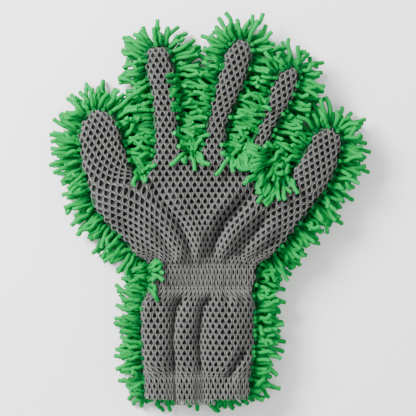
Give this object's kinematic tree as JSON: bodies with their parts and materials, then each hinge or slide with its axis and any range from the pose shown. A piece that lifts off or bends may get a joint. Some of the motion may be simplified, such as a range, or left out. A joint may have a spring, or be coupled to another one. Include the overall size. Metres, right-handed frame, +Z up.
{
  "type": "wash mitt",
  "caption": "Five-finger wash mitt: a grey spacer mesh back, green chenille noodle pile on the palm side, a gathered elastic wrist and an open cuff with an elastic hem.",
  "frame": {"origin": "middle of the overall bounding box, at the height of the surface the mitt lies on", "axes": "+Y from the cuff to the fingertips, +Z up out of the mesh back with the palm side down, +X across the hand away from the thumb"},
  "size_m": [0.2266, 0.2856, 0.0415],
  "materials": {
    "grey_mesh": "matte",
    "green_cloth": "matte",
    "green_chenille": "matte",
    "seam_thread": "matte",
    "elastic": "matte",
    "stitching": "matte"
  },
  "bodies": {
    "palm": {"back_mesh_palm": "grey_mesh", "chenille_cloth_palm": "green_cloth", "side_cloth_palm": "green_cloth", "pile_palm": "green_chenille", "side_pile_palm": "green_chenille", "seam_palm": "seam_thread", "wrist_elastic": "elastic", "wrist_stitching": "stitching"},
    "cuff": {"back_mesh_cuff": "grey_mesh", "chenille_cloth_cuff": "green_cloth", "side_cloth_cuff": "green_cloth", "pile_cuff": "green_chenille", "side_pile_cuff": "green_chenille", "seam_cuff": "seam_thread", "cuff_elastic": "elastic", "hem_stitching": "stitching"},
    "thumb": {"back_mesh_thumb": "grey_mesh", "chenille_cloth_thumb": "green_cloth", "pile_thumb": "green_chenille", "seam_thumb": "seam_thread"},
    "index": {"back_mesh_index": "grey_mesh", "chenille_cloth_index": "green_cloth", "pile_index": "green_chenille", "seam_index": "seam_thread"},
    "middle": {"back_mesh_middle": "grey_mesh", "chenille_cloth_middle": "green_cloth", "pile_middle": "green_chenille", "seam_middle": "seam_thread"},
    "ring": {"back_mesh_ring": "grey_mesh", "chenille_cloth_ring": "green_cloth", "pile_ring": "green_chenille", "seam_ring": "seam_thread"},
    "little": {"back_mesh_little": "grey_mesh", "chenille_cloth_little": "green_cloth", "pile_little": "green_chenille", "seam_little": "seam_thread"}
  },
  "joints": [
    {"name": "wrist_bend", "type": "hinge", "parent": "palm", "child": "cuff", "pos_m": [0, -0.059, 0.024], "axis": [1, 0, 0], "range_deg": [-30, 30]},
    {"name": "thumb_bend", "type": "hinge", "parent": "palm", "child": "thumb", "pos_m": [-0.0675, 0.015, 0.02], "axis": [-0.9781, -0.2079, 0], "range_deg": [-15, 45]},
    {"name": "index_bend", "type": "hinge", "parent": "palm", "child": "index", "pos_m": [-0.029, 0.05, 0.02], "axis": [-0.9965, -0.0837, 0], "range_deg": [-15, 45]},
    {"name": "middle_bend", "type": "hinge", "parent": "palm", "child": "middle", "pos_m": [0.005, 0.047, 0.02], "axis": [-0.9664, 0.2571, 0], "range_deg": [-15, 45]},
    {"name": "ring_bend", "type": "hinge", "parent": "palm", "child": "ring", "pos_m": [0.033, 0.04, 0.02], "axis": [-0.9107, 0.4131, 0], "range_deg": [-15, 45]},
    {"name": "little_bend", "type": "hinge", "parent": "palm", "child": "little", "pos_m": [0.0645, 0.011, 0.02], "axis": [-0.8949, 0.4462, 0], "range_deg": [-15, 45]}
  ]
}
